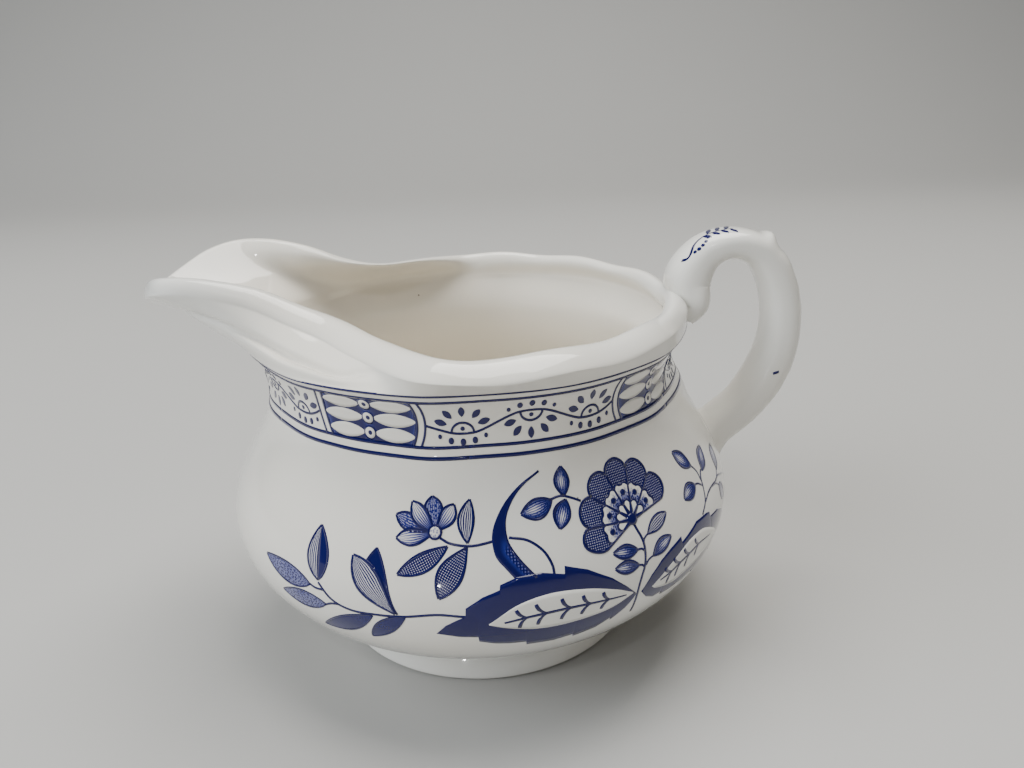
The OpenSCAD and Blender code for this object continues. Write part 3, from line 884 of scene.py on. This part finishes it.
# the whole spray
def drawSpray(sheet):
    # stems first, so leaves and flowers lie over them
    stems = [
        (pairs(-26.8, 34.1, -24, 31.6, -20.5, 30.6, -16.5, 30.7, -11.2, 31.1, -5.8, 31.9, -0.6, 31.5), 1),
        (pairs(-28.7, 33.3, -27.4, 32.9, -25.7, 33), 0.9),
        (pairs(-25.6, 30.2, -24.4, 30.8, -22.9, 31.1), 0.9),
        (pairs(-5.3, 44.3, -3.4, 43.4, 0, 43, 3.9, 43.6), 1),
        (pairs(6.2, 43.9, 9.2, 43.2, 11.6, 41.3, 12.8, 38.9, 13, 36.9), 1),
        (pairs(14.4, 49, 16.2, 49.3, 17.8, 48.9, 20, 47.8), 0.95),
        (pairs(28.8, 42.9, 29.3, 40.9, 30.1, 38, 29.7, 34.6, 28.7, 32.3, 28.1, 30, 27.6, 25), 1.1),
        (pairs(30, 37.6, 30.4, 38.6, 31.4, 39.1), 0.8), (pairs(29.8, 34.2, 30.5, 34.9, 31.6, 35.2), 0.8),
        (pairs(30, 36.6, 29.4, 37.2, 28.4, 37.3), 0.9), (pairs(29.5, 33.9, 29, 34.5, 28.2, 34.7), 0.9),
        (pairs(47.2, 36.2, 49.6, 37.8, 50.7, 40.1, 51.3, 41.6, 52.4, 42.7, 53.4, 42.7), 1),
        (pairs(51, 41.3, 50.9, 43.3, 49.7, 45.1), 0.9),
        (pairs(49.7, 37.7, 52.2, 38.5, 55, 38.6, 58.3, 38.3, 60.9, 39.5), 0.9),
        (pairs(57.6, 38.4, 60, 38.3, 62.2, 37.5, 65.6, 36.1, 68.6, 34.5), 0.85),
        (pairs(50.6, 40.6, 49.3, 41.5, 48, 41.8), 0.9), (pairs(54.8, 38.5, 56.8, 38.1, 58.7, 37), 0.85),
    ]
    for points, share in stems:
        sheet.line(points, spray["stem"] * share, 0)
    # left sprig: base, tip, bulge of each side, tone, fullest place, bend, layer, outline and split tones
    for leaf in (
            ((-28.6, 33.2), (-40.4, 34.8), 2, 1.7, dotted, 0.45, 0.3),
            ((-25.5, 30.3), (-36.2, 29.4), 1.7, 1.7, dotted, 0.48, 0.2),
            ((-26.8, 34.5), (-27.8, 43.6), 2.3, 2.1, solid, 0.45, 0, 0, 0.42, (hatched, solid)),
            ((-12.2, 31.4), (-16.1, 42), 3, 1.2, solid, 0.62, 0.9),
            ((-12.6, 31.4), (-20.3, 40.2), 1.9, 2.5, hatched, 0.6, 0.5, 2, 0.46),
            ((-16.6, 30.4), (-27.9, 24.4), 1.7, 1.7, dark, 0.5, 0.3),
            ((-11, 31), (-17.8, 25), 1.4, 1.4, dark, 0.5, -0.4)):
        sheet.leaf(*leaf)
    # lily
    strokes = lambda g, t: np.stack([0.1 + 0.5 * bell(t - 0.08, 0.4) + 0.3 * bell(np.abs(g) - 1, 0.3),
                                     0.35 + 0.6 * bell(t - 0.12, 0.42) + 0.2 * np.abs(g), 0 * t * g,
                                     0 * t * g], -1)
    heart = (-6.2, 45.2)
    for leaf in (((-7, 50.9), 1.6, 1.6, (0.42, 0.6, 0, 0.8), 0.66, 0, 0, 0.42),
                 ((-13.4, 47.6), 1.3, 1.4, (0.38, 0.7, 0, 0.7), 0.66, 0.2, 0, 0.42),
                 ((-3, 49.6), 1.3, 1.4, strokes, 0.62, -0.2, 1, 0.44),
                 ((-12.9, 43.9), 1.3, 1.4, strokes, 0.6, 0.2, 1, 0.44),
                 ((-10.6, 49.9), 1.4, 1.4, strokes, 0.6, 0.3, 3, 0.44)):
        sheet.leaf(heart, *leaf)
    sheet.dot(*heart, 1.1, level=5, ink=(0.1, 0, 0, 0.4))
    t = circle(16)
    sheet.line(heart + 1.1 * xy(np.cos(t), np.sin(t)), 0.4, 6, closed=True)
    for leaf in (((-0.7, 43.4), (-0.2, 50.3), 1.5, 1.2, hatched, 0.52, 0.35, 0, 0.42),
                 ((-4, 43), (-12.2, 38.2), 1.4, 1.5, crossed, 0.52, 0.3, 0, 0.44),
                 ((-0.8, 42.8), (-5.4, 34.7), 1.9, 2, crossed, 0.55, -0.3, 0, 0.44)):
        sheet.leaf(*leaf)
    # crescent
    outer = curve(pairs(13, 54, 8.8, 51.8, 5.5, 48.8, 3.5, 45, 3.7, 41.4, 5.3, 39.1, 7.1, 36.9), 40)
    inner = curve(pairs(13, 53.8, 9.7, 52, 7.3, 49.7, 5.8, 46.7, 5.9, 43.4, 7.5, 40.5, 10.1, 37.2),
                  40)
    g = steps(7)
    grid = outer[:, None] * (1 - g)[:, None] + inner[:, None] * g[:, None]
    depth = ease(steps(40), 0.55, 0.75)[:, None] * ease(g, 0.25, 0.7)[None]
    sheet.strip(grid, 0, np.stack([1 - 0.5 * depth, depth, 0.8 * depth, depth * 0], -1), grid * 0.8)
    sheet.line(inner, 0.4, 1, smooth=False)
    # big serrated leaves
    serratedLeaf(
        sheet,
        pairs(-6.2, 28, -4.6, 29.8, -3, 30.8, -1.4, 31.6, -1.3, 33.1, 1.4, 34.9, 4.1, 35.9, 4.2, 36.7,
           7, 37.7, 10.8, 37.9, 14.7, 37, 14.8, 38.3, 18.6, 36.9, 22.8, 34.3, 25.6, 31.8, 27.8, 29.5),
        pairs(-6.2, 28, -2.6, 27.3, 0.4, 27.1, 0.5, 25.9, 3, 25, 5.5, 24.6, 8.2, 24.5, 8.3, 23.5, 13, 23.3,
           16.4, 23.9, 16.5, 23.1, 20.6, 24.1, 23.1, 25.7, 23.2, 25, 25.8, 27, 27.8, 29.3),
        pairs(2.2, 30, 6.8, 33.1, 12.3, 34.3, 18.2, 33.7, 23.4, 32, 27, 30.1),
        pairs(2.2, 29.8, 5.3, 28.8, 10.5, 27.8, 16.2, 27.8, 22.6, 28.4, 27, 29.9),
        pairs(4.6, 30, 9, 30.7, 14.5, 31, 20, 30.7, 25.6, 30.1),
        (0.22, 0.38, 0.54, 0.7, 0.86))
    serratedLeaf(
        sheet,
        pairs(28.8, 29.4, 31, 31.9, 33.4, 33.7, 35.7, 34.7, 39.1, 35.7, 39.2, 34.6, 42, 35.4, 44.5, 36.2,
           48.7, 35.9, 50.1, 35.5, 50.2, 34.6, 54.2, 34, 58, 32.3, 60.8, 29.8),
        pairs(28.8, 29.4, 30.2, 27.6, 32.3, 26.4, 34.2, 26.6, 34.3, 25.8, 37, 25.6, 41, 25.6, 44.6, 26,
           44.7, 25.1, 49, 25.7, 52, 26.9, 52.1, 26.2, 55.6, 27.6, 58.4, 28.8, 60.8, 29.8),
        pairs(31.3, 29.4, 35.5, 31.8, 40.7, 33.8, 44.3, 34.1, 47.4, 33.6, 52.1, 31.2, 54, 29.4),
        pairs(31.3, 29.3, 32.5, 28.5, 36.7, 27.4, 40.6, 27.7, 44.4, 28.1, 48.2, 28.6, 54, 29.2),
        pairs(33.2, 29.8, 35.7, 30.2, 38.4, 30.9, 41.5, 31.4, 45.2, 31.7, 49.9, 31),
        (0.24, 0.42, 0.6, 0.78))
    # bud of three leaves
    paleLeaf(sheet, (17, 49.2), (17.4, 54), 1.5, 1.3, 0.1, 0.5)
    paleLeaf(sheet, (14.6, 48.9), (8.7, 47.3), 1.6, 1.6, -0.1, 0.6, 0.3)
    paleLeaf(sheet, (17.2, 48.6), (15.1, 44.1), 1.5, 1.5, 0.1, 0.6, -0.2)
    # peony: half a round flower in three rows of petals
    middle = np.array(spray["peonyAt"])
    petals, low, high = spray["peonyPetals"], *np.radians(spray["peonyTurn"])
    n = 20 * petals + 1
    t = steps(n)
    turn = low + (high - low) * t
    ray = xy(np.cos(turn), np.sin(turn))
    lobe = np.abs(np.sin(np.pi * petals * t))
    size = spray["peonySize"]
    ends = bell(t, 0.035) + 2.4 * bell(1 - t, 0.06)
    rims = {"far": size * (8.7 + 1.8 * lobe ** 0.55 - 0.6 * ends), "near": size * (2.6 + 0.8 * lobe ** 0.6),
            "frill": size * (5.6 + 0.8 * lobe ** 0.4 - 0.45 * bell(lobe - 1, 0.12))}
    ringOf = lambda r: middle + ray * r[:, None]
    g = steps(6)[None, :, None]
    band = lambda r0, r1: ringOf(r0)[:, None] * (1 - g) + ringOf(r1)[:, None] * g
    outerBand = band(rims["frill"] - 0.2, rims["far"])
    sheet.strip(outerBand, 0, (0.34, 0.95, 0.9, 0))
    frillBand = band(rims["near"] - 0.2, rims["frill"])
    blue = np.clip(1.15 - 1.5 * g[..., 0] + 0.25 * lobe[:, None] - 0.5 * bell(lobe - 1, 0.1)[:,
                                                                                             None] * g[...,
                                                                                                       0], 0,
                                                                                                       1)
    sheet.strip(frillBand, 1, np.stack([0.45 * blue, 0.6 * blue, 0 * blue, 0.95 * blue], -1))
    sheet.strip(band(np.full(n, 0.1), rims["near"]), 2, blank)
    for key, width in (("far", 0.5), ("frill", 0.4), ("near", 0.4)):
        sheet.line(ringOf(rims[key]), width, 4, smooth=False)
    for k in range(petals + 1):
        ending = middle + ray[k * 20] * rims["far"][k * 20]
        sheet.line([middle, ending], 0.8, 4, (1.25, 0.6, 0.5, 0.6))
    for k in range(petals):
        at = low + (high - low) * (k + 0.5) / petals
        sheet.dot(*(middle + 4.7 * size * np.array([np.cos(at), np.sin(at)])), 0.55, level=4)
    sheet.dot(*middle, 1.1, 1, level=5)
    # leaves on the peony's stem, and the right sprig: base, tip, bulges, where the pale patch is, and bend
    sheet.leaf((31.4, 39.1), (37, 41), 1.1, 1.2, (0.25, 0.9, 0, 0.2), 0.52, 0.2, edge=0.42)
    for leaf in (((31.6, 35.2), (36.6, 36.9), 1.2, 1.2, -0.1, 0.65, 0.2),
                 ((28.6, 37.3), (23.7, 38.1), 1.15, 1.15, 0, 0.7),
                 ((28.4, 34.7), (23.6, 35.5), 1.1, 1.1, 0, 0.7),
                 ((49.9, 44.9), (45.5, 49.3), 1.6, 1.4, 0.1),
                 ((53.2, 42.5), (58.1, 45.8), 1.6, 1.4),
                 ((60.8, 39.3), (64.8, 43.2), 1.6, 1.5),
                 ((48.2, 41.8), (43, 41), 1.45, 1.45, -0.2, 0.7, -0.2),
                 ((58.7, 37.1), (61, 33.1), 1.5, 1.5)):
        paleLeaf(sheet, *leaf)


farSide = film["perRadian"] * np.pi
for name, node, shift in (("frontSpray", "front_spray_transfer", 0),
                          ("backSpray", "back_spray_transfer", farSide)):
    sheet = Sheet(lambda u, s, lift, shift=shift: onBody(u + shift, s, lift), spray["map"])
    drawSpray(sheet)
    sheet.build(name, node)

# sprig on the handle

handleSheet = Sheet(onHandle, (-9.0, 15.0, 20.0, 16.0, 1))
handleSheet.line([(-3.3, 15.1), (-4.5, 15.7), (-4.5, 16.5), (-3.6, 17.3), (-2.5, 18.1), (-1.6, 19.4),
                  (-1.1, 21.2),
                  (-0.9, 25.4)], 0.62, 0, (0.9, 1, 0.9, 0.7))
for x, y, size in ((-5.0, 17.4, 0.9), (-5.2, 18.2, 1.1), (-4.9, 19.1, 1.0), (-4.2, 19.9, 0.9),
                   (-3.0, 20.6, 0.8)):
    handleSheet.dot(x, y, 0.62 * size, 0.36 * size, 1)
for k, y in enumerate((20.6, 21.4, 22.2, 23.0, 23.8, 24.6, 25.4)):
    tip = -0.9 + 2.7 * (-1) ** (k + 1)  # leaves stand to either side in turn
    handleSheet.leaf((-0.9, y - 0.5), (tip, y + 0.5), 0.45, 0.45, solid, 0.5, edge=0, level=1)
handleSheet.line([(-10.2, 57.5), (-9.3, 56.8)], 0.5, 1)  # a stray dash low on the handle
handleSheet.build("handlePrint", "handle_sprig_transfer")

# stage, lamps and camera

stage = {
    "floor": (0.42, 0.415, 0.4),
    "lens": 28.13, "sensor": 36, "clip": (0.01, 20),  # camera: focal length and film width, mm, and range
    "place": (0.00716, -0.15682, 0.10645),  # where it stands
    "pitch": 0.351, "roll": 0.034,  # how far it looks down and leans, radians
    "sky": (0.86, 0.88, 0.9, 1), "skyPower": 0.14,
}
# lamps: name, place, width, height, power, colour, and whether the glaze mirrors them
lamps = (("window", (-1, -0.45, 0.75), 1, 1, 20, (0.9, 0.95, 1), False),
         ("overhead", (0.1, 0.2, 1.1), 0.8, 0.8, 19, (1, 0.98, 0.94), True),
         ("fill", (0.9, -0.7, 0.3), 0.7, 0.7, 0.8, (1, 0.88, 0.74), False),
         ("spark", (-0.14, -0.49, 0.035), 0.014, 0.014, 0.12, (1, 1, 1), True),
         ("glint", (-0.06, -0.75, 0.85), 0.05, 0.03, 1, (1, 1, 1), True))

floorNodes = Nodes("floor")
coords = floorNodes.add("TexCoord").outputs["Object"]
tone = floorNodes.mix(floorNodes.noise(coords, 6.0), stage["floor"], tuple(0.97 * c for c in stage["floor"]))
floorNodes.feed(floorNodes.shader.inputs["Base Color"], tone)
floorNodes.shader.inputs["Roughness"].default_value = 0.6
depth, cols = steps(60), np.linspace(-2.2, 2.2, 40)
back = xy(-1.2 + 3.0 * depth, 0.9 * ease(depth, 0.62, 1) ** 1.5)  # the floor turns up behind the jug
rows = [np.stack([cols, np.full(40, y), np.full(40, z)], 1) for y, z in back]
floorFaces, floorPlace = gridFaces(60, 40)
floorMesh = bpy.data.meshes.new("floor")
floorMesh.from_pydata(np.concatenate(rows).tolist(), [], floorFaces.tolist())
floorMesh.polygons.foreach_set("use_smooth", np.ones(len(floorFaces), bool))
floorMesh.materials.append(floorNodes.material)
floor = addObject("floor", floorMesh)


# soft lamps, aimed at the jug
for name, place, wide, tall, power, colour, mirrored in lamps:
    data = bpy.data.lights.new(name, "AREA")
    data.shape, data.size, data.size_y = "RECTANGLE", wide, tall
    data.energy, data.color = power, colour
    piece = addObject(name, data)
    piece.location = place
    piece.visible_camera, piece.visible_glossy = False, mirrored
    piece.rotation_euler = (Vector((0, 0, 0.04)) - Vector(place)).to_track_quat("-Z", "Y").to_euler()

world = bpy.data.worlds.new("studio")
bpy.context.scene.world = world
world.use_nodes = True
sky = world.node_tree.nodes["Background"].inputs
sky[0].default_value, sky[1].default_value = stage["sky"], stage["skyPower"]

cameraData = bpy.data.cameras.new("camera")
cameraData.lens, cameraData.sensor_width = stage["lens"], stage["sensor"]
cameraData.clip_start, cameraData.clip_end = stage["clip"]
camera = addObject("camera", cameraData)
pitchCos, pitchSin, rollCos, rollSin = (f(stage[key]) for key in ("pitch", "roll") for f in (np.cos, np.sin))
forward, level, down = Vector((0, pitchCos, -pitchSin)), Vector((1, 0, 0)), Vector((0, -pitchSin, -pitchCos))
right = level * rollCos + down * rollSin
below = down * rollCos - level * rollSin
axes = Matrix((right, -below, -forward)).transposed().to_4x4()
camera.matrix_world = Matrix.Translation(Vector(stage["place"])) @ axes
bpy.context.scene.camera = camera
print("stage made")
